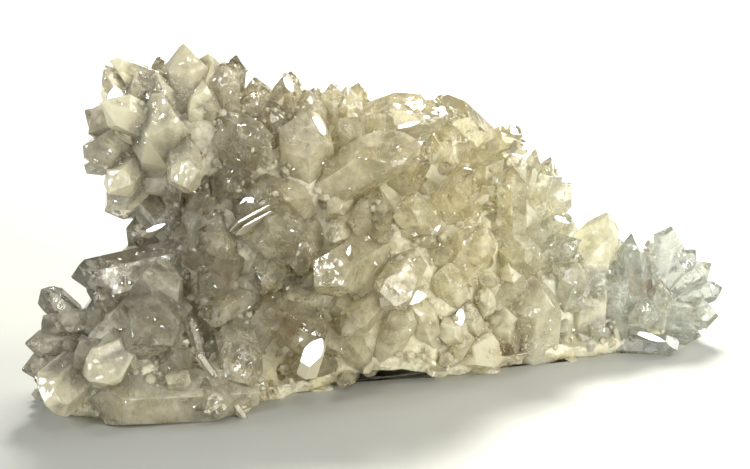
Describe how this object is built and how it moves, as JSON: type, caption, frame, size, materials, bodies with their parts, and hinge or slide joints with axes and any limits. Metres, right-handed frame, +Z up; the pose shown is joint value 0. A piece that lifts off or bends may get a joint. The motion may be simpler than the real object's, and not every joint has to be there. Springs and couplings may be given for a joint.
{
  "type": "quartz crystal cluster",
  "caption": "Cluster of clear to milky rock crystal points grown together on a rough base, broken off flat underneath to rest on a shelf.",
  "frame": {"origin": "middle of the bounding box, on the flat break the cluster rests on", "axes": "+X along the cluster towards its low end, +Y away from the front, +Z up"},
  "size_m": [0.2164, 0.1388, 0.1039],
  "materials": {
    "quartz": "clear to milky, natural crystal faces"
  },
  "bodies": {
    "root": {"quartz_cluster": "quartz"}
  },
  "joints": []
}
